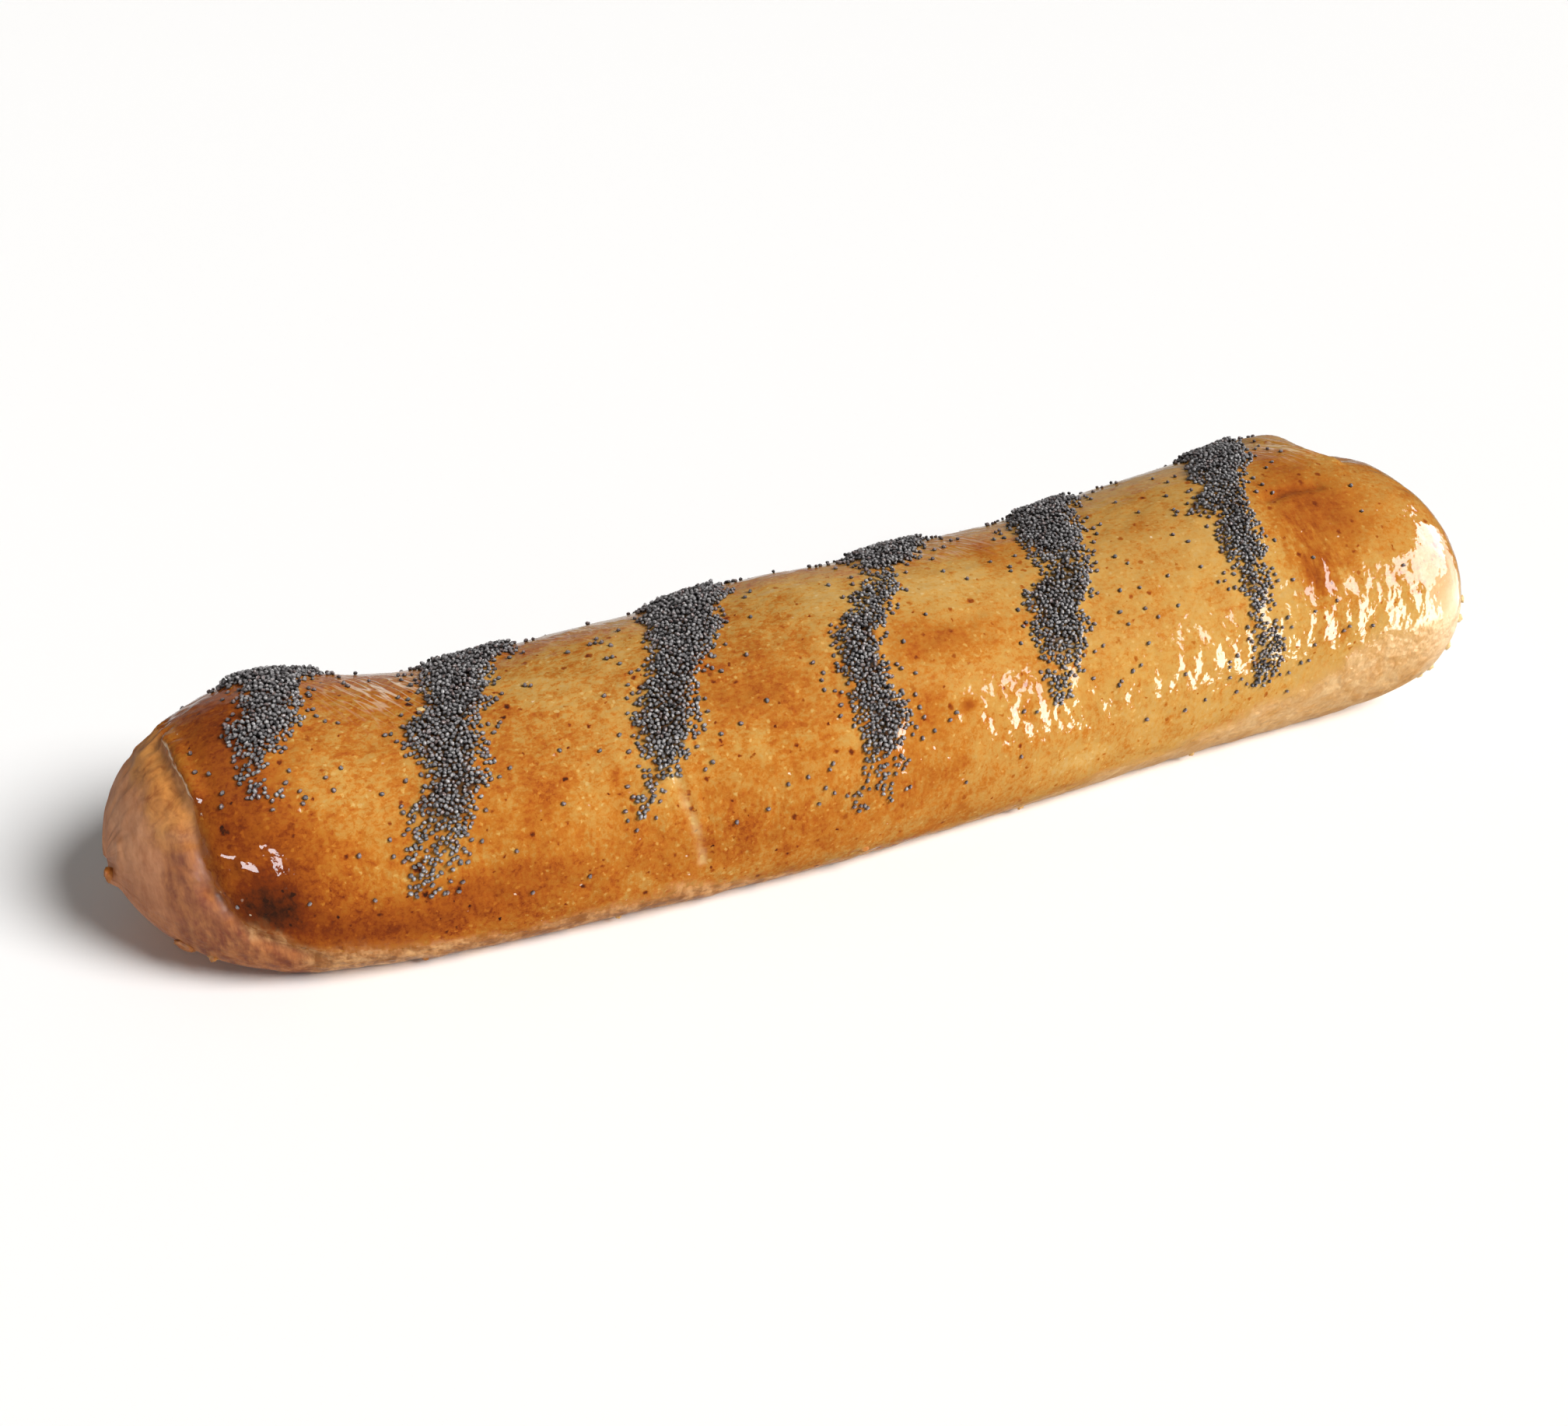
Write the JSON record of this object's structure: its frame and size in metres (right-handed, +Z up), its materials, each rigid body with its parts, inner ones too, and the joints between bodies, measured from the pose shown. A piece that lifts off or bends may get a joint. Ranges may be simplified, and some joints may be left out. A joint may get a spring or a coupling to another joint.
{
  "type": "poppy seed strudel",
  "caption": "Long rounded roll of glazed baked dough with a tucked end and bands of poppy seeds across its back, lying on a flat base.",
  "frame": {"origin": "centre of the footprint of the roll's bounding box, on the surface it lies on", "axes": "+X along the roll towards its thicker rounded end, +Z up, -Y the front"},
  "size_m": [0.3006, 0.0754, 0.0552],
  "materials": {
    "baked_crust": "glossy"
  },
  "bodies": {
    "root": {"strudel": "baked_crust"}
  },
  "joints": []
}
